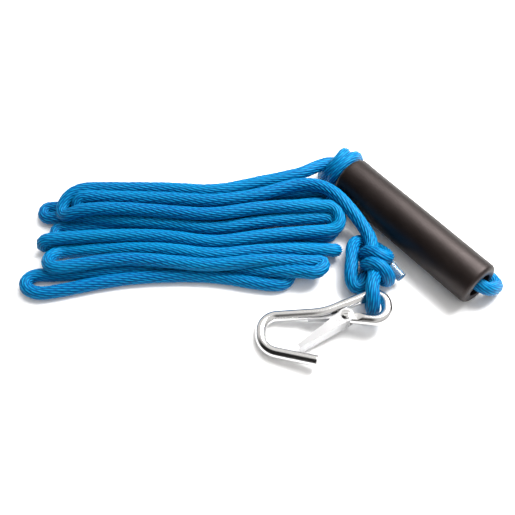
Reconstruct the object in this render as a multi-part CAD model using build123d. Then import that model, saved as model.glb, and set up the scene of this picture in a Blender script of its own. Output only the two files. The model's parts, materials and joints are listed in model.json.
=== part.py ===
from build123d import *
import math
import os

# Tow rope with a foam hand grip at one end and a snap hook at the other, the spare rope folded in a hank.
# Everything lies on z = 0.  Millimetres, +Z up.

# ---- Driving dimensions -------------------------------------------------------------------------

ROPE_D = 9.0
ROPE_R = ROPE_D / 2
AIR = 0.3  # gap between the rope and a piece that moves against it
EYE_AIR = 0.9  # the same round the eye's bar, whose bends swing into the rope

GRIP_D = 32.0
GRIP_LENGTH = 126.0
GRIP_EDGE = 3.0  # rounding of the foam's end edges
GRIP_CENTRE = (29.2, 23.5, GRIP_D / 2)
GRIP_ANGLE = -50.0  # degrees, from +X to the grip's axis
CORE_OD = 18.0
CORE_ID = 12.0
CORE_RECESS = 3.0  # the core tube stops this far inside the foam

BAR_D = 7.5  # round bar that the hook is bent from
BAR_R = BAR_D / 2
HOOK_PIVOT_XY = (-20.6, -46.4)
HOOK_TILT = 7.2  # degrees: the rope under the eye lifts that end of the hook
EYE_RADIUS = 8.5
EYE_RIGHT = 27.0  # from the gate's pivot to the eye's far side, bar centre
EYE_LOW = -4.9
EYE_HIGH = 19.9
SPINE_BEND = (-15.0, 4.4)
BOWL_LEFT = -56.8
BOWL_LOW = -19.9
TIP_END = (-20.2, -30.8)
EYE_TOP = (18.5, 16.25)  # the eye's highest bar centre, where the rope loops round it

GATE_LENGTH = 38.2
GATE_ANGLE = 215.3  # degrees, from the hook's x axis to the closed gate
GATE_HEIGHT = 7.8
GATE_SHEET = 1.1
GATE_HEAD_R = 5.0
TANG_HEIGHT = 5.2
TANG_FLAT = 8.0  # the bar is flattened this far from the pivot
RIVET_R = 1.9
RIVET_HEAD_R = 3.3
RIVET_HEAD_HEIGHT = 1.0
RIVET_FIT = 0.05
LEAF_THICKNESS = 0.6
LEAF_HEIGHT = 4.4

RETURN_HEIGHT = ROPE_R + 0.02  # the strand that runs back behind the grip lies on the ground
EYE_LOOP_LOW = ROPE_R + 0.1
TURN_OUT = 6.0  # how far past the foam the rope's turn has its corners

KNOT_ROUND = 6.0
HOOK_KNOT_SIZE = (28.0, 32.0, 24.0)
HOOK_KNOT_AT = (-2.0, -6.5, 12.0)
HANDLE_KNOT_SIZE = (22.0, 28.0, 21.0)  # along the grip, across it, up
HANDLE_KNOT_AT = (-76.0, 6.0)  # along and across, from the grip's centre

TAIL_D = 6.6  # the cut end is squeezed inside its sleeve
SLEEVE_D = 7.6
SLEEVE_LENGTH = 12.0
TAIL_START = (8.0, 0.7, 11.9)
TAIL_END = (19.5, -14.0, 9.6)

HANK_LOW = 13.0  # top of the spread lower passes
HANK_HIGH = 26.0  # top of the heaped passes

# ---- Routes of the free rope, corner by corner ----------------------------------------------------

LEAD_TO_HOOK = [
    (-49, 62.5, 20.5),
    (-34, 59.5, 21.5),
    (-22, 49, 22.5),
    (-12.5, 37, 19.5),
    (-4.5, 27, 14.5),
    (1.5, 15, 12),
    (0, 3.5, 13),
]
LEAD_TO_HANDLE = [(-57, 68.5, 20), (-45, 74, 20), (-33.5, 82.5, 18.5), (-21, 86, 16.5)]
HANK_OUTLINE = [
    (-239, -9.5),
    (-240, -21.5),
    (-227, -26.5),
    (-204, -21.5),
    (-180, -15.5),
    (-136, -12.5),
    (-105, -14.5),
    (-71, -20.5),
    (-58, -15.5),
    (-35, -7.5),
    (-23, 4.5),
    (-18, 22.5),
    (-15, 40.5),
    (-23, 52.5),
    (-55, 68.5),
    (-117, 60.5),
    (-204, 62.5),
    (-221, 52.5),
    (-237, 50.5),
    (-237, 14.5),
]
HEAP_OUTLINE = [
    (-213, -1.5),
    (-159, -5.5),
    (-99, -5.5),
    (-51, 2.5),
    (-35, 22.5),
    (-31, 44.5),
    (-39, 60.5),
    (-55, 74.5),
    (-117, 60.5),
    (-204, 62.5),
    (-221, 48.5),
    (-225, 22.5),
]

# ---- Helpers ------------------------------------------------------------------------------------


def tight_turns(points):
    """The largest arc at each corner of a route that its two runs leave room for."""
    radii = []
    for before, corner, after in zip(points, points[1:], points[2:]):
        run_in = Vector(corner) - Vector(before)
        run_out = Vector(after) - Vector(corner)
        half_turn = math.radians(run_in.get_angle(run_out) / 2)
        radii.append(0.45 * min(run_in.length, run_out.length) / math.tan(half_turn))
    return radii


def rope_tube(name, points, radii=None, diameter=ROPE_D):
    """A round tube along straight runs joined by tangent arcs."""
    radii = radii or tight_turns(points)
    path = FilletPolyline(*points, radius=radii)
    section = Plane(origin=path @ 0, z_dir=path % 0) * Circle(diameter / 2)
    tube = sweep(section, path=path)
    full = math.pi * diameter**2 / 4 * path.length
    print(f"{name}: length {path.length:.1f}, volume {tube.volume / full:.3f} of its section times length, radii",
          [round(radius, 1) for radius in radii])
    return tube


def largest(shape):
    return max(shape.solids(), key=lambda solid: solid.volume)


def rounded_block(size, radius):
    block = Box(*size)
    return fillet(block.edges(), radius)


def on_hook(along, across):
    """A point of the hook's middle plane, in the whole object's frame."""
    return (hook_frame * Pos(along, across, 0)).position


def save(name, shape):
    shape.label = name
    export_step(shape, f"parts/{name}.step")


# ---- Frames that the sub-assemblies are drawn in ----------------------------------------------------

pivot_height = BAR_R + 0.02 - BOWL_LEFT * math.sin(math.radians(HOOK_TILT))
grip_frame = Location(GRIP_CENTRE, (0, 0, GRIP_ANGLE))
hook_frame = Location((*HOOK_PIVOT_XY, pivot_height), (0, -HOOK_TILT, 0))
gate_frame = hook_frame * Location((0, 0, 0), (0, 0, GATE_ANGLE))

# ---- Hand grip ------------------------------------------------------------------------------------


def grip_sleeve():
    """Closed-cell foam sleeve, drawn along its own x axis."""
    foam = Rot(0, 90, 0) * Cylinder(GRIP_D / 2, GRIP_LENGTH)
    foam = fillet(foam.edges().filter_by(GeomType.CIRCLE), GRIP_EDGE)
    bore = Rot(0, 90, 0) * Cylinder(CORE_OD / 2, GRIP_LENGTH + 2)
    return grip_frame * (foam - bore)


def core_tube():
    length = GRIP_LENGTH - 2 * CORE_RECESS
    tube = Rot(0, 90, 0) * (Cylinder(CORE_OD / 2, length) - Cylinder(CORE_ID / 2, length + 2))
    return grip_frame * tube


# ---- Snap hook ------------------------------------------------------------------------------------


def hook_body():
    """Bent round bar: a flattened tang, the rope's eye, the spine, the bowl and the square-cut tip."""
    corners = [
        (0, 0),
        (EYE_RIGHT, EYE_LOW),
        (EYE_RIGHT, EYE_HIGH),
        SPINE_BEND,
        (BOWL_LEFT, SPINE_BEND[1]),
        (BOWL_LEFT, BOWL_LOW),
        TIP_END,
    ]
    path = FilletPolyline(*corners, radius=[EYE_RADIUS, EYE_RADIUS, 38, 10.5, 14])
    bar = sweep(Plane(origin=path @ 0, z_dir=path % 0) * Circle(BAR_R), path=path)
    flat_size = (TANG_FLAT * 2, BAR_D + 4, BAR_D)
    for side in (-1, 1):
        bar -= Pos(0, -1, side * (TANG_HEIGHT + BAR_D) / 2) * Box(*flat_size)
    bar += Cylinder(BAR_R, TANG_HEIGHT)
    bar -= Cylinder(RIVET_R, BAR_D)
    return hook_frame * bar


def gate_rivet():
    """Pin with two low domed heads and a dimple in the upper one."""
    head_top = GATE_HEIGHT / 2 + RIVET_HEAD_HEIGHT
    profile = [
        (0, -head_top),
        (RIVET_HEAD_R * 0.6, -head_top),
        (RIVET_HEAD_R, -head_top + RIVET_HEAD_HEIGHT * 0.5),
        (RIVET_HEAD_R, -GATE_HEIGHT / 2),
        (RIVET_R, -GATE_HEIGHT / 2),
        (RIVET_R, GATE_HEIGHT / 2),
        (RIVET_HEAD_R, GATE_HEIGHT / 2),
        (RIVET_HEAD_R, head_top - RIVET_HEAD_HEIGHT * 0.5),
        (RIVET_HEAD_R * 0.6, head_top),
        (0, head_top),
    ]
    face = Plane.XZ * make_face(Polyline(*profile, close=True))
    rivet = revolve(face, Axis.Z)
    rivet -= Pos(0, 0, head_top) * Box(2.6, 0.8, 0.8)
    return hook_frame * rivet


def gate():
    """Sheet-metal channel, open towards the hook's spine; x runs to the gate's tip, y to the outside."""
    inner_root = -4.7
    inner_tip = -2.6
    outer_tip = 0.5
    outline = make_face(
        Polyline(
            (0, inner_root),
            (GATE_LENGTH, inner_tip),
            (GATE_LENGTH, outer_tip),
            (0, GATE_HEAD_R - 0.1),
            close=True,
        )
    )
    outline += Circle(GATE_HEAD_R)
    channel = extrude(outline, GATE_HEIGHT / 2, both=True)
    slope = (outer_tip - GATE_HEAD_R) / GATE_LENGTH
    pocket_outline = make_face(
        Polyline(
            (-12, -12),
            (GATE_LENGTH - GATE_SHEET, -12),
            (GATE_LENGTH - GATE_SHEET, outer_tip - GATE_SHEET),
            (2.2, GATE_HEAD_R - GATE_SHEET + 2.2 * slope),
            (-3.6, 9.8),
            (-12, 12),
            close=True,
        )
    )
    channel -= extrude(pocket_outline, GATE_HEIGHT / 2 - GATE_SHEET, both=True)
    channel -= Cylinder(RIVET_R + RIVET_FIT, GATE_HEIGHT + 2)
    return gate_frame * channel


def gate_spring():
    """Leaf bent to a V: one leg bears on the spine, the other lies inside the gate's web."""
    path = FilletPolyline((-25.5, 0.1), (-5.2, -1.4), (-18.9, -14.0), radius=1.0)
    start = Plane(origin=path @ 0, z_dir=path % 0, x_dir=(0, 0, 1))
    return hook_frame * sweep(start * Rectangle(LEAF_HEIGHT, LEAF_THICKNESS), path=path)


# ---- Rope -----------------------------------------------------------------------------------------


def rope_hank():
    """Outer shape of the folded rope: spread lower passes with more passes heaped on them."""
    low = extrude(make_face(Polyline(*HANK_OUTLINE, close=True)), HANK_LOW)
    heap = extrude(make_face(Polyline(*HEAP_OUTLINE, close=True)), HANK_HIGH)
    return low + heap


def hook_knot():
    return Pos(*HOOK_KNOT_AT) * rounded_block(HOOK_KNOT_SIZE, KNOT_ROUND)


def handle_knot():
    along, across = HANDLE_KNOT_AT
    height = HANDLE_KNOT_SIZE[2] / 2 - GRIP_D / 2
    return grip_frame * Pos(along, across, height) * rounded_block(HANDLE_KNOT_SIZE, KNOT_ROUND)


def handle_loop():
    """From the knot through the grip, round its far end and back along the ground behind it."""
    drop = RETURN_HEIGHT - GRIP_D / 2
    spacing = GRIP_D / 2 + ROPE_R + AIR
    behind = math.sqrt(spacing**2 - drop**2)
    near = -GRIP_LENGTH / 2 - 8
    far = GRIP_LENGTH / 2 + TURN_OUT
    route = [(near, 0, 0), (far, 0, 0), (far, behind, drop), (near, behind, drop)]
    return grip_frame * rope_tube("handle_loop", route)


def eye_loop():
    """Round the eye's top bar, between two places in the knot."""
    reach = BAR_R + ROPE_R + EYE_AIR
    eye = on_hook(*EYE_TOP)
    route = [
        (eye.X, eye.Y + 20, eye.Z + 5.2),
        (eye.X, eye.Y - reach, eye.Z + reach + 1.0),
        (eye.X, eye.Y - reach, EYE_LOOP_LOW),
        (eye.X, eye.Y + 20, EYE_LOOP_LOW + 0.4),
    ]
    return rope_tube("eye_loop", route, radii=[reach * 0.92, reach * 0.94])


def straight_piece(start, length, outer, inner=0.0):
    plane = Plane(origin=start, z_dir=Vector(TAIL_END) - Vector(TAIL_START))
    piece = extrude(plane * Circle(outer / 2), length)
    if inner:
        piece -= extrude(plane * Circle(inner / 2), length)
    return piece


def hook_tail():
    return straight_piece(TAIL_START, (Vector(TAIL_END) - Vector(TAIL_START)).length, TAIL_D)


def tail_sleeve():
    direction = (Vector(TAIL_END) - Vector(TAIL_START)).normalized()
    return straight_piece(Vector(TAIL_END) - direction * SLEEVE_LENGTH, SLEEVE_LENGTH, SLEEVE_D, TAIL_D)


# ---- Build ------------------------------------------------------------------------------------------

os.makedirs("parts", exist_ok=True)

hank = rope_hank()
knot_at_hook = hook_knot()
knot_at_handle = handle_knot()

save("grip_sleeve", grip_sleeve())
save("core_tube", core_tube())
save("hook_body", hook_body())
save("gate_rivet", gate_rivet())
save("gate", gate())
save("gate_spring", gate_spring())
save("rope_hank", hank)
save("hook_knot", knot_at_hook)
save("handle_knot", knot_at_handle)
save("lead_to_hook", largest(rope_tube("lead_to_hook", LEAD_TO_HOOK) - hank - knot_at_hook))
save("lead_to_handle", largest(rope_tube("lead_to_handle", LEAD_TO_HANDLE) - hank - knot_at_handle))
save("handle_loop", largest(handle_loop() - knot_at_handle))
save("eye_loop", largest(eye_loop() - knot_at_hook))
save("hook_tail", largest(hook_tail() - knot_at_hook))
save("tail_sleeve", largest(tail_sleeve() - knot_at_hook))

print("gate pivot", on_hook(0, 0), "eye bar", on_hook(*EYE_TOP))
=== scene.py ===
"""A tow rope with a foam hand grip and a snap hook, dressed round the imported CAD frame.

Everything is in metres, +Z up, in the frame's own axes.  The camera and the rope come first, then the
grip, the hook and its gate, and last the floor and the lights.
"""

import json
import math
import random

import bpy
import numpy as np
from mathutils import Matrix, Vector


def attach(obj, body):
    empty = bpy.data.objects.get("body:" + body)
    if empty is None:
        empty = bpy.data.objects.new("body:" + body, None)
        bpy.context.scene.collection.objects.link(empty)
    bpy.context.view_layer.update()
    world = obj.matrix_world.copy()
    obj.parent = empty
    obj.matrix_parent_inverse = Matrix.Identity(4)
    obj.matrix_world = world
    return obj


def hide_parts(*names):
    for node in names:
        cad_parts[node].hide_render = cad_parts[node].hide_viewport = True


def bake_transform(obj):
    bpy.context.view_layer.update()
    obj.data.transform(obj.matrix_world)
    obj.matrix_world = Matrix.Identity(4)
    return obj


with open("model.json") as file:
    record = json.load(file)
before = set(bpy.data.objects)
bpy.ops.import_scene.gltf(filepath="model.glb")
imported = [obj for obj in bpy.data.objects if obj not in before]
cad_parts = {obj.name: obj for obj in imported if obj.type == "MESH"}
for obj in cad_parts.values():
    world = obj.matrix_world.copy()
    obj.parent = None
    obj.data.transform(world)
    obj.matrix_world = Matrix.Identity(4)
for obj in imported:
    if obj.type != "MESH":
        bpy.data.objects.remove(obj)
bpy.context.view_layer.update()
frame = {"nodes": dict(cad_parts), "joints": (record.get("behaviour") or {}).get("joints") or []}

# ---- Camera --------------------------------------------------------------------------------------

CAMERA_PLACE = (-0.0792, -0.3090, 0.4548)
CAMERA_TILT = 35.0  # degrees from straight down
CAMERA_LENS = 54.55  # millimetres, on a sensor 36 wide


def make_camera():
    data = bpy.data.cameras.new("camera")
    data.lens = CAMERA_LENS
    data.sensor_width = 36.0
    data.clip_start = 0.01
    camera = bpy.data.objects.new("camera", data)
    camera.location = CAMERA_PLACE
    camera.rotation_euler = (math.radians(CAMERA_TILT), 0, 0)
    bpy.context.collection.objects.link(camera)
    bpy.context.scene.camera = camera


make_camera()

# ---- The rope's route, from the cut tail at the hook to the end in the handle's knot ---------------

ROPE_D = 0.009
ROPE_R = ROPE_D / 2

TAIL = [(0.0195, -0.0140, 0.0096), (0.0150, -0.00825, 0.0105), (0.0105, -0.0025, 0.0114)]
HOOK_KNOT = [
    (0.0065, 0.0005, 0.0102),
    (0.0015, 0.0015, 0.0065),
    (-0.0035, -0.0015, 0.0075),
    (-0.0055, -0.0070, 0.0130),
    (-0.0035, -0.0095, 0.0215),
    (0.0030, -0.0135, 0.0240),
    (0.0085, -0.0180, 0.0195),
    (0.0108, -0.0180, 0.0105),
    (0.0070, -0.0125, 0.0046),
    (-0.0005, -0.0030, 0.0045),
    (-0.0055, 0.0035, 0.0090),
    (-0.0050, 0.0025, 0.0175),
    (0.0000, -0.0020, 0.0230),
    (0.0055, -0.0070, 0.0235),
    (0.0098, -0.0045, 0.0190),
    (0.0112, 0.0035, 0.0110),
    (0.0075, 0.0120, 0.0050),
    (0.0005, 0.0180, 0.0045),
    (-0.0085, 0.0200, 0.0070),
    (-0.0130, 0.0120, 0.0100),
    (-0.0135, 0.0000, 0.0120),
    (-0.0155, -0.0100, 0.0120),
    (-0.0155, -0.0185, 0.0095),
    (-0.0110, -0.0230, 0.0065),
    (-0.0065, -0.0185, 0.0090),
    (-0.0070, -0.0115, 0.0090),
    (-0.0030, -0.0110, 0.0050),
    (-0.0020, -0.0190, 0.0045),
]
EYE_LOOP = [
    (-0.0022, -0.0290, 0.0043),
    (-0.0022, -0.0370, 0.0046),
    (-0.0025, -0.0411, 0.0109),
    (-0.0033, -0.0394, 0.0210),
    (-0.0040, -0.0288, 0.0238),
    (-0.0004, -0.0190, 0.0190),
    (0.0000, -0.0080, 0.0136),
]
LEAD_TO_HOOK = [
    (-0.0490, 0.0605, 0.0205),
    (-0.0340, 0.0590, 0.0215),
    (-0.0220, 0.0490, 0.0225),
    (-0.0125, 0.0370, 0.0195),
    (-0.0045, 0.0270, 0.0145),
    (0.0015, 0.0150, 0.0120),
    (0.0000, 0.0035, 0.0130),
]
LEAD_TO_HANDLE = [
    (-0.0570, 0.0680, 0.0200),
    (-0.0450, 0.0718, 0.0200),
    (-0.0335, 0.0805, 0.0185),
    (-0.0210, 0.0860, 0.0165),
]

# The hank: each pass has its x at both ends in metres, then its y and its z in millimetres, at the left
# end, at the stations and at the right end.  B, M and T are bottom, middle and top, apart from B3, which
# lies as high as the M passes, and the right end of B2, which climbs over its neighbours.
STATIONS = (-0.175, -0.142, -0.109, -0.077)
PASSES = [
    ("T2", -0.203, -0.062, (49, 48, 47, 44, 50.5, 56), (20, 20, 20, 20, 20, 20.5)),
    ("M4", -0.203, -0.036, (41.5, 41.5, 40, 37, 43, 49), (12.5, 12.3, 12.3, 12.3, 12.3, 12.3)),
    ("B7", -0.185, -0.034, (48, 46, 43, 40, 42, 44), (4.5, 4.5, 4.5, 4.5, 4.5, 4.5)),
    ("B8", -0.185, -0.034, (58, 57, 54, 52, 58, 55), (4.5, 4.5, 4.5, 4.5, 4.5, 4.5)),
    ("M5", -0.230, -0.031, (50, 51.5, 51, 48, 60, 60.5), (4.6, 12.0, 12.3, 12.3, 12.3, 12.3)),
    ("M3", -0.230, -0.030, (41.5, 33, 31, 24.5, 33, 36), (4.6, 12.0, 12.3, 12.3, 12.3, 12.3)),
    ("B6", -0.219, -0.032, (31.5, 34, 33, 30, 25, 24), (4.5, 4.5, 4.5, 4.5, 4.5, 4.5)),
    ("B5", -0.219, -0.0295, (24, 27, 23, 19, 17.5, 12.5), (4.5, 4.5, 4.5, 4.5, 4.5, 4.5)),
    ("M1", -0.213, -0.0295, (12.5, 11.5, 8.5, 2.5, 7.0, 7.0), (4.6, 7.5, 12.3, 12.3, 12.3, 12.3)),
    ("B3", -0.215, -0.0365, (-8, 0, -3, -6.2, -3.5, -3.0), (12.8, 12.8, 13.3, 12.8, 15.5, 12.5)),
    ("B2", -0.222, -0.0435, (-9.5, -5, 0, -1, -8, -11.5), (4.5, 4.5, 4.5, 4.5, 9, 13)),
    ("B1", -0.217, -0.066, (-21.5, -11.0, -8.5, -9.8, -15.5, -17), (4.5, 4.5, 4.5, 4.5, 4.5, 4.5)),
    ("B4", -0.211, -0.070, (19, 18.5, 14, 8, 8, 5), (4.5, 4.5, 4.5, 4.5, 4.5, 4.5)),
    ("M2", -0.220, -0.029, (18, 20, 19, 12.5, 20.5, 23.5), (12.3, 12.3, 12.3, 12.3, 12.3, 12.3)),
    ("T3", -0.198, -0.030, (38.5, 38.5, 35, 31.5, 40, 41), (20, 20, 20, 20, 20, 18.5)),
    ("T1", -0.198, -0.066, (57, 57, 57, 54, 63.5, 66), (20, 20, 20, 20, 20, 20)),
]
# Folds whose shape shows, in place of the plain round fold.
OPEN_FOLD = [
    (-0.2300, -0.0080, 0.0045),
    (-0.2375, -0.0100, 0.0045),
    (-0.2400, -0.0165, 0.0045),
    (-0.2360, -0.0215, 0.0045),
    (-0.2280, -0.0240, 0.0045),
]
STEEP_FOLD = [
    (-0.2240, 0.0175, 0.0045),
    (-0.2310, 0.0145, 0.0047),
    (-0.2325, 0.0150, 0.0095),
    (-0.2290, 0.0165, 0.0120),
]
SHOULDER = [
    (-0.2080, 0.0370, 0.0185),
    (-0.2160, 0.0355, 0.0140),
    (-0.2205, 0.0385, 0.0125),
    (-0.2200, 0.0450, 0.0145),
    (-0.2160, 0.0515, 0.0180),
    (-0.2080, 0.0560, 0.0200),
]
SHAPED_FOLDS = {("B2", "B1"): OPEN_FOLD, ("B4", "M2"): STEEP_FOLD, ("T3", "T1"): SHOULDER}
HANDLE_LOOP = [
    (-0.0680, 0.0000, 0.0160),
    (-0.0400, 0.0000, 0.0160),
    (0.0482, 0.0000, 0.0160),
    (0.0685, 0.0000, 0.0160),
    (0.0692, 0.0160, 0.0055),
    (0.0643, 0.0182, 0.0046),
    (0.0440, 0.0179, 0.0046),
    (-0.0660, 0.0174, 0.0046),
]
HANDLE_KNOT = [
    (-0.0720, 0.0185, 0.0065),
    (-0.0730, 0.0180, 0.0145),
    (-0.0710, 0.0135, 0.0215),
    (-0.0695, 0.0050, 0.0250),
    (-0.0690, -0.0045, 0.0230),
    (-0.0695, -0.0110, 0.0145),
    (-0.0725, -0.0085, 0.0050),
    (-0.0785, 0.0030, 0.0045),
    (-0.0825, 0.0115, 0.0085),
    (-0.0805, 0.0120, 0.0175),
    (-0.0765, 0.0075, 0.0245),
    (-0.0740, -0.0010, 0.0245),
    (-0.0755, -0.0090, 0.0165),
    (-0.0785, -0.0105, 0.0065),
    (-0.0835, -0.0060, 0.0055),
    (-0.0860, 0.0005, 0.0090),
    (-0.0815, 0.0045, 0.0105),
]
JOINTS = {joint["name"]: joint for joint in frame["joints"]}
GRIP_CENTRE = JOINTS["grip_spin"]["pos_m"]
GRIP_ALONG = JOINTS["grip_spin"]["axis"]
MILLIMETRE = 0.001
SIDEWAYS = 0.0007  # how far a pass strays from its place
TIGHTEST = 0.0060  # the smallest half width of a plain fold
FOLD_SHAPE = ((0.45, 0), (1.0, 0.275), (1.0, 0.725), (0.45, 1))  # reach in radii, and share of the step


def bight(start, end, side):
    """Corners that carry the rope round a fold, from one pass's end to the next one's."""
    start, end = Vector(start), Vector(end)
    step = end - start
    gap = math.hypot(step.y, step.z)
    radius = max(gap / 2, TIGHTEST)
    corners = []
    for reach, share in FOLD_SHAPE:
        x = start.x + step.x * share + side * reach * radius
        spread = (2 * share - 1) * radius / gap
        y = (start.y + end.y) / 2 + step.y * spread
        z = (start.z + end.z) / 2 + step.z * spread
        corners.append((x, y, max(z, ROPE_R)))
    return corners


def hank():
    """The passes' points in the rope's order, with a fold between each pass and the next."""
    rng = random.Random(5)
    route = []
    side = -1
    before = None
    for name, left, right, ys, zs in PASSES:
        xs = (left, *STATIONS, right)
        points = [
            (x, y * MILLIMETRE + rng.uniform(-1, 1) * SIDEWAYS, z * MILLIMETRE) for x, y, z in zip(xs, ys, zs)
        ]
        if side < 0:
            points.reverse()
        if route:
            route += SHAPED_FOLDS.get((before, name)) or bight(route[-1], points[0], -side)
        route += points
        side = -side
        before = name
    return route


def beside_grip(point):
    """A place in the frame from one given along the grip, across it and above the floor."""
    along, across, height = point
    x = GRIP_CENTRE[0] + GRIP_ALONG[0] * along - GRIP_ALONG[1] * across
    y = GRIP_CENTRE[1] + GRIP_ALONG[1] * along + GRIP_ALONG[0] * across
    return x, y, height


def rope_route():
    """The rope's corners from its cut tail to its other end."""
    grip_side = [beside_grip(place) for place in HANDLE_LOOP + HANDLE_KNOT]
    return TAIL + HOOK_KNOT + EYE_LOOP + LEAD_TO_HOOK[::-1] + hank() + LEAD_TO_HANDLE + grip_side


# ---- Curves and meshes -----------------------------------------------------------------------------

EASING_ROUNDS = 28  # more of them round off the rope's corners further


def smooth_curve(name, points):
    """A NURBS curve object of order 3 with these control points."""
    data = bpy.data.curves.new(name, "CURVE")
    data.dimensions = "3D"
    data.resolution_u = 16
    spline = data.splines.new("NURBS")
    spline.points.add(len(points) - 1)
    for corner, point in zip(spline.points, points):
        corner.co = (*point, 1.0)
    spline.order_u = 3
    spline.use_endpoint_u = True
    obj = bpy.data.objects.new(name, data)
    bpy.context.collection.objects.link(obj)
    return obj


def even_places(line, step):
    """The line's places again, evenly spaced, and how far along it each one is."""
    along = np.concatenate(([0], np.cumsum(np.linalg.norm(np.diff(line, axis=0), axis=1))))
    even = np.linspace(0, along[-1], round(along[-1] / step) + 1)
    return np.stack([np.interp(even, along, line[:, k]) for k in range(line.shape[1])], axis=1), even


def centreline(name, points, step):
    """Evenly spaced places read from the smooth curve, with its sharp corners eased as stiff rope's are."""
    curve = smooth_curve(name, points)
    bpy.context.view_layer.update()
    mesh = bpy.data.meshes.new_from_object(curve)
    line = np.array([vertex.co[:] for vertex in mesh.vertices])
    bpy.data.meshes.remove(mesh)
    bpy.data.objects.remove(curve)
    line = even_places(line, step / 3)[0]
    for _ in range(EASING_ROUNDS):
        line[1:-1] = (line[:-2] + 2 * line[1:-1] + line[2:]) / 4
    return even_places(line, step)


def carried_frames(line):
    """Two directions across the line at each place, carried along it without twisting."""
    forward = np.gradient(line, axis=0)
    forward /= np.linalg.norm(forward, axis=1)[:, None]
    first = np.cross(forward[0], (0.3, 0.2, 1.0))
    side = first / np.linalg.norm(first)
    sides = []
    for direction in forward:
        side = side - direction * (side @ direction)
        side /= np.linalg.norm(side)
        sides.append(side)
    sides = np.array(sides)
    return sides, np.cross(forward, sides)


def link_mesh(name, vertices, faces, smooth=True):
    mesh = bpy.data.meshes.new(name)
    mesh.from_pydata([tuple(v) for v in vertices], [], [tuple(f) for f in faces])
    mesh.validate()
    if smooth:
        mesh.polygons.foreach_set("use_smooth", [True] * len(mesh.polygons))
    obj = bpy.data.objects.new(name, mesh)
    bpy.context.collection.objects.link(obj)
    return obj


def ring_faces(rings, around):
    """Quads between neighbouring rings of a tube, and a fan at each end's centre vertex."""
    faces = []
    for ring in range(rings - 1):
        for k in range(around):
            a = ring * around + k
            b = ring * around + (k + 1) % around
            faces.append((a, b, b + around, a + around))
    first, last = rings * around, rings * around + 1
    for k in range(around):
        after = (k + 1) % around
        faces.append((after, k, first))
        faces.append(((rings - 1) * around + k, (rings - 1) * around + after, last))
    return faces


# ---- Node trees ------------------------------------------------------------------------------------


class Tree:
    """Short calls for building a node tree."""

    def __init__(self, tree):
        self.tree = tree

    def link(self, source, target):
        self.tree.links.new(source, target)

    def add(self, kind, **settings):
        node = self.tree.nodes.new(kind)
        for key, value in settings.items():
            setattr(node, key, value)
        return node

    def put(self, value, socket):
        if isinstance(value, bpy.types.NodeSocket):
            self.link(value, socket)
        else:
            socket.default_value = value

    def math(self, operation, a, b=0.0):
        node = self.add("ShaderNodeMath", operation=operation)
        self.put(a, node.inputs[0])
        self.put(b, node.inputs[1])
        return node.outputs[0]

    def scaled(self, vector, x, y, z=1.0):
        node = self.add("ShaderNodeMapping")
        self.link(vector, node.inputs["Vector"])
        node.inputs["Scale"].default_value = (x, y, z)
        return node.outputs[0]

    def noise(self, vector, scale, detail=3.0, roughness=0.5):
        node = self.add("ShaderNodeTexNoise")
        self.link(vector, node.inputs["Vector"])
        node.inputs["Scale"].default_value = scale
        node.inputs["Detail"].default_value = detail
        node.inputs["Roughness"].default_value = roughness
        return node.outputs["Fac"]

    def ramp(self, factor, *stops):
        node = self.add("ShaderNodeValToRGB")
        self.link(factor, node.inputs[0])
        elements = node.color_ramp.elements
        while len(elements) < len(stops):
            elements.new(0.5)
        for element, (place, colour) in zip(elements, stops):
            element.position = place
            element.color = (*colour, 1.0)
        return node.outputs[0]

    def span(self, factor, low, high, to_low, to_high):
        node = self.add("ShaderNodeMapRange")
        self.link(factor, node.inputs["Value"])
        for key, value in (("From Min", low), ("From Max", high), ("To Min", to_low), ("To Max", to_high)):
            node.inputs[key].default_value = value
        return node.outputs["Result"]

    def mix(self, factor, a, b):
        node = self.add("ShaderNodeMix", data_type="RGBA", blend_type="MIX")
        self.put(factor, node.inputs[0])
        self.put(a if isinstance(a, bpy.types.NodeSocket) else (*a, 1.0), node.inputs[6])
        self.put(b if isinstance(b, bpy.types.NodeSocket) else (*b, 1.0), node.inputs[7])
        return node.outputs[2]

    def bump(self, height, strength, distance):
        node = self.add("ShaderNodeBump")
        self.link(height, node.inputs["Height"])
        node.inputs["Strength"].default_value = strength
        node.inputs["Distance"].default_value = distance
        return node.outputs[0]

    def dot(self, vector, direction):
        node = self.add("ShaderNodeVectorMath", operation="DOT_PRODUCT")
        self.link(vector, node.inputs[0])
        node.inputs[1].default_value = direction
        return node.outputs["Value"]

    def object_place(self):
        return self.add("ShaderNodeTexCoord").outputs["Object"]


class Nodes(Tree):
    """One material's node tree, with its shader."""

    def __init__(self, name):
        self.material = bpy.data.materials.new(name)
        self.material.use_nodes = True
        super().__init__(self.material.node_tree)
        self.tree.nodes.clear()
        output = self.tree.nodes.new("ShaderNodeOutputMaterial")
        self.shader = self.tree.nodes.new("ShaderNodeBsdfPrincipled")
        self.link(self.shader.outputs[0], output.inputs["Surface"])

    def set(self, **values):
        for key, value in values.items():
            self.put(value, self.shader.inputs[key.replace("_", " ")])


# ---- Rope ------------------------------------------------------------------------------------------

RING_STEP = 0.0021
RIDGES = 16
SIDES_PER_RIDGE = 3
AROUND = RIDGES * SIDES_PER_RIDGE
STITCH = 4 * RING_STEP
STITCH_DEPTH = 0.6  # how far a ridge sinks between two stitches
STITCH_WIDTH = 0.16  # of that sinking, in stitches
LAY_LENGTH = 0.125  # the ridges go once round the rope in this length
FULL_R = 0.0048  # at full relief, which the crests come near
RIDGE_DEPTH = 0.00085
TAIL_SQUEEZE = 0.70  # the tail's size inside its sleeve
SLEEVE_LENGTH = 0.012
SQUEEZE_FADE = 0.008
END_ROUNDING = 0.004
END_SMALLEST = 0.12  # of the full section, at the end in the handle's knot
# The relief given to the rope's two end centre vertices also sets how dark the painted shade on the end caps
# is.
END_RELIEF = 0.6
FLOOR_GAP = 0.0001


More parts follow.
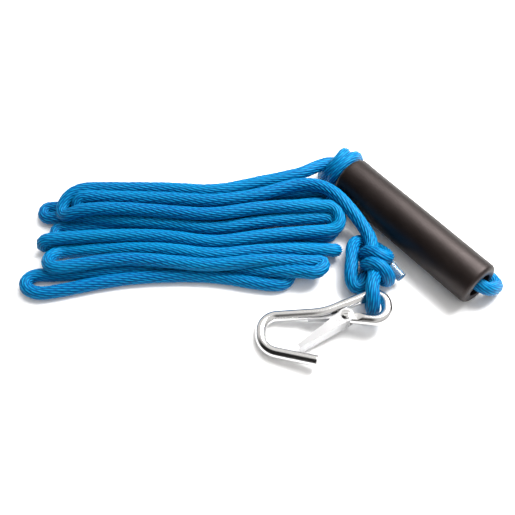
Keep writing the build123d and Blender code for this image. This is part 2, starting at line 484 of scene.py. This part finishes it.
def rope_material():
    n = Nodes("blue_braid")
    grid = n.add("ShaderNodeUVMap", uv_map="braid").outputs[0]
    relief = n.add("ShaderNodeAttribute", attribute_name="relief").outputs["Fac"]
    filaments = n.noise(n.scaled(grid, 0.55, 5.0), 1.0, 3.0, 0.55)
    yarns = n.noise(n.scaled(grid, 0.9, 1.3), 1.0, 2.0, 0.5)
    stretch = n.noise(n.scaled(grid, 0.05, 0.08), 1.0, 1.0, 0.4)
    # Painted shade and painted highlight: the ramp colours the braid's valleys and sunken stitch ends dark
    # navy and its crests light cyan, in place of the shade and glints of the lit braid.
    crest_light_valley_shade_mask = n.math("MULTIPLY", relief, n.span(filaments, 0.2, 0.8, 0.82, 1.12))
    body = n.ramp(
        crest_light_valley_shade_mask,
        (0.0, (0.0004, 0.009, 0.058)),
        (0.35, (0.0004, 0.056, 0.205)),
        (0.72, (0.0007, 0.175, 0.415)),
        (1.0, (0.0030, 0.335, 0.600)),
    )
    toned = n.mix(n.span(yarns, 0.3, 0.7, 0.0, 0.45), body, (0.0005, 0.100, 0.340))
    worn = n.mix(n.span(stretch, 0.35, 0.75, 0.0, 0.25), toned, (0.0008, 0.320, 0.560))
    height = n.math("ADD", n.math("MULTIPLY", filaments, 0.6), n.math("MULTIPLY", yarns, 0.4))
    n.set(
        Base_Color=worn,
        Roughness=n.span(filaments, 0.2, 0.8, 0.40, 0.58),
        Specular_IOR_Level=0.35,
        Specular_Tint=(0.15, 0.75, 1.0, 1.0),
        Normal=n.bump(height, 0.6, 0.0004),
    )
    return n.material


def rope_surface(line, along):
    """The braid's points ring by ring, and how high each one stands between a valley and a crest."""
    sides, ups = carried_frames(line)
    column = np.arange(AROUND)
    ridge = np.sin(math.pi * (column % SIDES_PER_RIDGE) / SIDES_PER_RIDGE)
    odd = (column // SIDES_PER_RIDGE) % 2 * 0.5
    phase = (along[:, None] / STITCH + odd[None, :]) % 1.0
    from_end = np.minimum(phase, 1 - phase)
    relief = ridge[None, :] * (1 - STITCH_DEPTH * np.exp(-((from_end / STITCH_WIDTH) ** 2)))
    inside = np.clip((along - SLEEVE_LENGTH) / SQUEEZE_FADE, 0, 1)
    size = TAIL_SQUEEZE + (1 - TAIL_SQUEEZE) * inside * inside * (3 - 2 * inside)
    size *= np.sqrt(np.clip((along[-1] - along) / END_ROUNDING, END_SMALLEST, 1))
    radius = (FULL_R - RIDGE_DEPTH * (1 - relief)) * size[:, None]
    turn = (2 * math.pi * column / AROUND)[None, :] + (2 * math.pi * along / LAY_LENGTH)[:, None]
    across = np.cos(turn)[..., None] * sides[:, None] + np.sin(turn)[..., None] * ups[:, None]
    surface = line[:, None] + radius[..., None] * across
    surface[..., 2] = np.maximum(surface[..., 2], FLOOR_GAP)
    return surface, relief


def add_braid_grid(mesh, along):
    """Texture coordinates counted in stitches along the rope and in ridges round it."""
    corners = np.array([loop.vertex_index for loop in mesh.loops])
    row, col = corners // AROUND, corners % AROUND
    row[corners >= len(along) * AROUND] = len(along) - 1
    v = col / SIDES_PER_RIDGE
    starts = np.array([polygon.loop_start for polygon in mesh.polygons])
    totals = np.array([polygon.loop_total for polygon in mesh.polygons])
    owner = np.repeat(np.arange(len(starts)), totals)
    highest = np.zeros(len(starts))
    np.maximum.at(highest, owner, v)
    wraps = (highest[owner] - v) > RIDGES / 2
    v = np.where(wraps, v + RIDGES, v)
    grid = mesh.uv_layers.new(name="braid")
    grid.data.foreach_set("uv", np.stack([along[row] / STITCH, v], axis=1).ravel())


def make_rope():
    line, along = centreline("rope_line", rope_route(), RING_STEP)
    surface, relief = rope_surface(line, along)
    vertices = list(surface.reshape(-1, 3)) + [line[0], line[-1]]
    rope = link_mesh("rope", vertices, ring_faces(len(line), AROUND))
    # The relief is also the mask for the braid's painted shade in the valleys and painted highlight on the
    # crests.
    shade = rope.data.attributes.new("relief", "FLOAT", "POINT")
    shade.data.foreach_set("value", list(relief.ravel()) + [END_RELIEF, END_RELIEF])
    add_braid_grid(rope.data, along)
    rope.data.materials.append(rope_material())
    return rope, line


rope, rope_line = make_rope()
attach(rope, "rope")
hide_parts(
    "rope_hank",
    "hook_knot",
    "handle_knot",
    "lead_to_hook",
    "lead_to_handle",
    "handle_loop",
    "eye_loop",
    "hook_tail",
)

# ---- Places of the grip and the hook ----------------------------------------------------------------


def place_in(origin, x_axis, y_axis):
    """The matrix of an object whose own axes are these in the frame."""
    x_axis, y_axis = Vector(x_axis), Vector(y_axis)
    turn = Matrix((x_axis, y_axis, x_axis.cross(y_axis))).transposed()
    return Matrix.Translation(origin) @ turn.to_4x4()


GATE_TURN = JOINTS["gate_pivot"]["axis"]
GRIP_PLACE = place_in(GRIP_CENTRE, GRIP_ALONG, (-GRIP_ALONG[1], GRIP_ALONG[0], 0))
HOOK_PLACE = place_in(JOINTS["gate_pivot"]["pos_m"], (-GATE_TURN[2], 0, GATE_TURN[0]), (0, 1, 0))

# ---- Foam grip ---------------------------------------------------------------------------------------

SLEEVE_HALF = 0.063
SLEEVE_R = 0.016
BORE_R = 0.00905
OUTER_EDGE = 0.0030
BORE_EDGE = 0.0008
GRIP_AROUND = 96
GRIP_RINGS = 70
GRIP_UNEVEN = 0.00012
GRIP_WAVES = 7


def foam_material():
    n = Nodes("grip_foam")
    place = n.object_place()
    cells = n.noise(place, 2400.0, 2.0, 0.6)
    skin = n.noise(n.scaled(place, 0.35, 1.0), 240.0, 4.0, 0.6)
    cloud = n.noise(n.scaled(place, 0.5, 1.0), 45.0, 4.0, 0.6)
    colour = n.mix(n.span(cloud, 0.3, 0.7, 0.0, 1.0), (0.0030, 0.0017, 0.0014), (0.0065, 0.0040, 0.0034))
    height = n.math("ADD", n.math("MULTIPLY", cells, 0.5), n.math("MULTIPLY", skin, 0.5))
    n.set(
        Base_Color=colour,
        Roughness=n.span(skin, 0.3, 0.7, 0.42, 0.52),
        Specular_IOR_Level=0.36,
        Specular_Tint=(1.0, 0.84, 0.81, 1.0),
        Normal=n.bump(height, 0.35, 0.00025),
    )
    return n.material


def edge_arc(centre, radius, start, count=7):
    """Places of a quarter round in the profile's plane, from a start angle in degrees."""
    turns = [math.radians(start + 90 * k / count) for k in range(count + 1)]
    return [(centre[0] + radius * math.cos(t), centre[1] + radius * math.sin(t)) for t in turns]


def make_grip():
    """The foam sleeve turned from its profile, with a skin that is very slightly uneven."""
    rng = random.Random(11)
    waves = [
        (rng.randint(1, 4), rng.uniform(20, 90), rng.uniform(0, 6.3), rng.uniform(0.4, 1))
        for _ in range(GRIP_WAVES)
    ]
    straight = SLEEVE_HALF - OUTER_EDGE
    outside = [(straight - 2 * straight * k / GRIP_RINGS, SLEEVE_R) for k in range(1, GRIP_RINGS)]
    profile = edge_arc((straight, SLEEVE_R - OUTER_EDGE), OUTER_EDGE, 0) + outside
    profile += edge_arc((-straight, SLEEVE_R - OUTER_EDGE), OUTER_EDGE, 90)
    profile += [(-SLEEVE_HALF, (SLEEVE_R + BORE_R) / 2)]
    profile += edge_arc((-SLEEVE_HALF + BORE_EDGE, BORE_R + BORE_EDGE), BORE_EDGE, 180)
    profile += edge_arc((SLEEVE_HALF - BORE_EDGE, BORE_R + BORE_EDGE), BORE_EDGE, 270)
    profile += [(SLEEVE_HALF, (SLEEVE_R + BORE_R) / 2)]
    vertices = []
    for x, radius in profile:
        share = (radius - BORE_R) / (SLEEVE_R - BORE_R)
        for k in range(GRIP_AROUND):
            turn = 2 * math.pi * k / GRIP_AROUND
            swell = sum(
                size * math.sin(count * turn + pitch * x + phase) for count, pitch, phase, size in waves
            )
            r = radius + min(0.0, GRIP_UNEVEN * share * (swell / 2 - 1))
            vertices.append((x, r * math.cos(turn), r * math.sin(turn)))
    faces = []
    rings = len(profile)
    for ring in range(rings):
        for k in range(GRIP_AROUND):
            a = ring * GRIP_AROUND + k
            b = ring * GRIP_AROUND + (k + 1) % GRIP_AROUND
            c = (ring + 1) % rings * GRIP_AROUND + (k + 1) % GRIP_AROUND
            d = (ring + 1) % rings * GRIP_AROUND + k
            faces.append((a, d, c, b))
    grip = link_mesh("foam_grip", vertices, faces)
    grip.matrix_world = GRIP_PLACE
    grip.data.materials.append(foam_material())
    return grip


foam_grip = make_grip()
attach(foam_grip, "grip")
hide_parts("grip_sleeve")

# ---- Hook bar and gate spring -------------------------------------------------------------------------

BAR_R = 0.00375
BAR_AROUND = 40
BAR_STEP = 0.0006
BAR_CORNERS = [
    (0, 0),
    (0.0270, -0.0049),
    (0.0270, 0.0199),
    (-0.0150, 0.0044),
    (-0.0568, 0.0044),
    (-0.0568, -0.0199),
    (-0.0202, -0.0308),
]
BAR_BENDS = [0.0085, 0.0085, 0.038, 0.0105, 0.014]
TANG_HALF = 0.0026
TANG_END = 0.008
TANG_FADE = 0.003
NOSE_RINGS = 8  # round the blunt end of the tang
TIP_EDGE = ((0.0002, 0.96), (0.0003, 0.88))  # past the bar's square end, and the share of its radius there
SHARP = math.radians(50)
ARC_STEPS = 24
LEAF_CORNERS = [(-0.0255, 0.0001), (-0.0052, -0.0014), (-0.0189, -0.0140)]
LEAF_HALF_HEIGHT = 0.0022
LEAF_HALF_THICKNESS = 0.0003
LEAF_BEND = 0.001
LEAF_STEP = 0.0005


def zinc_material(name, colour, roughness, streak):
    n = Nodes(name)
    place = n.object_place()
    cloud = n.noise(place, 70.0, 4.0, 0.6)
    grain = n.noise(place, 900.0, 3.0, 0.6)
    drawn = n.noise(n.scaled(place, *streak), 900.0, 3.0, 0.6)
    tint = n.mix(n.span(cloud, 0.3, 0.7, 0.0, 1.0), colour, tuple(c * 0.86 for c in colour))
    specks = n.mix(n.span(grain, 0.62, 0.78, 0.0, 0.3), tint, tuple(c * 0.5 for c in colour))
    n.set(
        Base_Color=specks,
        Metallic=1.0,
        Roughness=n.span(cloud, 0.3, 0.7, roughness, roughness + 0.10),
        Normal=n.bump(n.math("ADD", grain, drawn), 0.10, 0.00006),
    )
    return n.material


def rounded_route(corners, radii, step):
    """Evenly spaced places along runs joined by arcs, with the direction and the distance at each."""
    corners = [np.array(corner, float) for corner in corners]
    route = [corners[0]]
    for before, corner, after, radius in zip(corners, corners[1:], corners[2:], radii):
        back = (before - corner) / np.linalg.norm(before - corner)
        ahead = (after - corner) / np.linalg.norm(after - corner)
        half = math.acos(np.clip(back @ ahead, -1, 1)) / 2
        middle = (back + ahead) / np.linalg.norm(back + ahead)
        centre = corner + middle * radius / math.sin(half)
        first = corner + back * radius / math.tan(half) - centre
        last = corner + ahead * radius / math.tan(half) - centre
        sweep = math.pi - 2 * half
        sign = math.copysign(1, first[0] * last[1] - first[1] * last[0])
        for k in range(ARC_STEPS + 1):
            turned = sign * sweep * k / ARC_STEPS
            c, s = math.cos(turned), math.sin(turned)
            route.append(centre + np.array([c * first[0] - s * first[1], s * first[0] + c * first[1]]))
    route.append(corners[-1])
    places, along = even_places(np.array(route), step)
    directions = np.gradient(places, axis=0)
    return places, directions / np.linalg.norm(directions, axis=1)[:, None], along


def make_hook_bar():
    places, directions, along = rounded_route(BAR_CORNERS, BAR_BENDS, BAR_STEP)
    rings = []
    for k in range(NOSE_RINGS):
        turn = math.radians(90 * k / NOSE_RINGS)
        back = BAR_R * math.cos(turn)
        rings.append((places[0] - directions[0] * back, directions[0], math.sin(turn), 0))
    rings += [(place, direction, 1, far) for place, direction, far in zip(places, directions, along)]
    end, last = places[-1], directions[-1]
    rings += [(end + last * past, last, width, along[-1]) for past, width in TIP_EDGE]
    vertices = []
    for place, direction, width, far in rings:
        flat = np.clip((TANG_END + TANG_FADE - far) / TANG_FADE, 0, 1)
        tallest = BAR_R + (TANG_HALF - BAR_R) * flat
        squeeze = width if far > TANG_END else 1
        for k in range(BAR_AROUND):
            turn = 2 * math.pi * k / BAR_AROUND
            side = BAR_R * width * math.cos(turn)
            z = max(-tallest, min(tallest, BAR_R * squeeze * math.sin(turn)))
            vertices.append((place[0] - direction[1] * side, place[1] + direction[0] * side, z))
    first, last = rings[0][0], rings[-1][0]
    vertices += [(*first, 0), (*last, 0)]
    bar = link_mesh("hook_bar", vertices, ring_faces(len(rings), BAR_AROUND))
    bar.data.set_sharp_from_angle(angle=SHARP)
    bar.matrix_world = HOOK_PLACE
    return bar


def make_leaf():
    places, directions, _ = rounded_route(LEAF_CORNERS, [LEAF_BEND], LEAF_STEP)
    vertices = []
    for place, direction in zip(places, directions):
        for side, z in ((1, -1), (1, 1), (-1, 1), (-1, -1)):
            across = side * LEAF_HALF_THICKNESS
            height = z * LEAF_HALF_HEIGHT
            vertices.append((place[0] - direction[1] * across, place[1] + direction[0] * across, height))
    vertices += [(*places[0], 0), (*places[-1], 0)]
    leaf = link_mesh("spring_leaf", vertices, ring_faces(len(places), 4))
    leaf.data.set_sharp_from_angle(angle=SHARP)
    leaf.matrix_world = HOOK_PLACE
    return leaf


bar_zinc = zinc_material("bright_zinc", (0.73, 0.73, 0.73), 0.13, (0.1, 1.0, 1.0))
sheet_zinc = zinc_material("sheet_zinc", (0.56, 0.56, 0.57), 0.24, (1.0, 0.15, 1.0))
spring_steel = zinc_material("spring_steel", (0.55, 0.55, 0.56), 0.24, (0.2, 1.0, 1.0))
hook_bar = make_hook_bar()
hook_bar.data.materials.append(bar_zinc)
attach(hook_bar, "hook")
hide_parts("hook_body")
leaf = make_leaf()
leaf.data.materials.append(spring_steel)
bpy.context.view_layer.update()
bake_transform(leaf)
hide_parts("gate_spring")

# ---- Pieces kept from the frame -----------------------------------------------------------------------


def clear_sleeve_material():
    n = Nodes("clear_sleeve")
    place = n.object_place()
    ripple = n.noise(place, 320.0, 3.0, 0.5)
    n.set(
        Base_Color=n.mix(ripple, (0.80, 0.92, 0.97), (0.92, 0.97, 1.0)),
        Roughness=n.span(ripple, 0.3, 0.7, 0.10, 0.20),
        Transmission_Weight=0.92,
        IOR=1.40,
        Normal=n.bump(ripple, 0.15, 0.0004),
    )
    return n.material


def tube_material():
    n = Nodes("core_plastic")
    place = n.object_place()
    cloud = n.noise(place, 120.0, 3.0, 0.5)
    scuff = n.noise(n.scaled(place, 1.0, 1.0, 4.0), 700.0, 2.0, 0.6)
    n.set(
        Base_Color=n.mix(cloud, (0.004, 0.004, 0.004), (0.008, 0.008, 0.008)),
        Roughness=n.span(scuff, 0.3, 0.7, 0.30, 0.46),
        Normal=n.bump(scuff, 0.2, 0.0001),
    )
    return n.material


def dress(node, material):
    """Gives one of the frame's own pieces its finish."""
    mesh_object = frame["nodes"][node]
    mesh_object.data.materials.clear()
    mesh_object.data.materials.append(material)


def round_edges(node, width):
    bevel = frame["nodes"][node].modifiers.new("rounded_edges", "BEVEL")
    bevel.width = width
    bevel.segments = 2
    bevel.limit_method = "ANGLE"
    bevel.angle_limit = math.radians(40)
    bevel.use_clamp_overlap = True


round_edges("gate", 0.00035)
round_edges("gate_rivet", 0.0002)
dress("gate_rivet", bar_zinc)
dress("gate", sheet_zinc)
dress("core_tube", tube_material())
dress("tail_sleeve", clear_sleeve_material())

# ---- Floor and lights ------------------------------------------------------------------------------


def make_floor():
    size = 3.0
    corners = [(-size, -size, 0), (size, -size, 0), (size, size, 0), (-size, size, 0)]
    floor = link_mesh("floor", corners, [(0, 1, 2, 3)], smooth=False)
    n = Nodes("white_paper")
    grain = n.noise(n.object_place(), 400.0, 2.0, 0.5)
    n.set(Base_Color=n.mix(grain, (0.90, 0.90, 0.90), (0.93, 0.93, 0.93)), Roughness=0.8)
    floor.data.materials.append(n.material)


def aim(name, data, place, target):
    light = bpy.data.objects.new(name, data)
    light.location = place
    light.rotation_euler = (Vector(target) - Vector(place)).to_track_quat("-Z", "Y").to_euler()
    bpy.context.collection.objects.link(light)
    return light


def far_light(name, place, spread, strength):
    """An even light from far away, whose shadows soften with its spread in degrees."""
    data = bpy.data.lights.new(name, "SUN")
    data.angle = math.radians(spread)
    data.energy = strength
    return aim(name, data, place, (0, 0, 0))


def near_light(name, place, target, size, power):
    data = bpy.data.lights.new(name, "AREA")
    data.shape = "SQUARE"
    data.size = size
    data.energy = power
    return aim(name, data, place, target)


SKY = 0.92
SEEN_SKY = 1.1  # what the camera itself sees past the floor
DARK_SIDE = (-0.70, -0.35, 0.62)  # the unlit part of the room that bare metal mirrors


def make_world():
    world = bpy.data.worlds.new("studio")
    world.use_nodes = True
    tree = world.node_tree
    n = Tree(tree)
    direction = n.add("ShaderNodeTexCoord").outputs["Generated"]
    toward = n.dot(direction, DARK_SIDE)
    height = n.dot(direction, (0, 0, 1))
    patch = n.span(toward, 0.66, 0.84, 1.0, 0.02)
    horizon = n.span(height, 0.10, 0.32, 0.02, 1.0)
    shown = n.add("ShaderNodeLightPath").outputs["Is Camera Ray"]
    lit = n.math("MULTIPLY", n.math("MULTIPLY", patch, horizon), SKY)
    background = tree.nodes["Background"]
    background.inputs["Color"].default_value = (1.0, 0.975, 0.950, 1.0)
    n.link(n.math("MAXIMUM", lit, n.math("MULTIPLY", shown, SEEN_SKY)), background.inputs["Strength"])
    bpy.context.scene.world = world


make_floor()
make_world()
far_light("key", (0.32, 0.38, 0.84), 40.0, 2.9)
far_light("fill", (-0.35, -0.45, 0.80), 60.0, 0.5).visible_glossy = False
near_light("side", (0.24, 0.18, 0.42), (-0.02, 0.04, 0.0), 0.22, 3.4)
bpy.context.scene.view_settings.view_transform = "Standard"
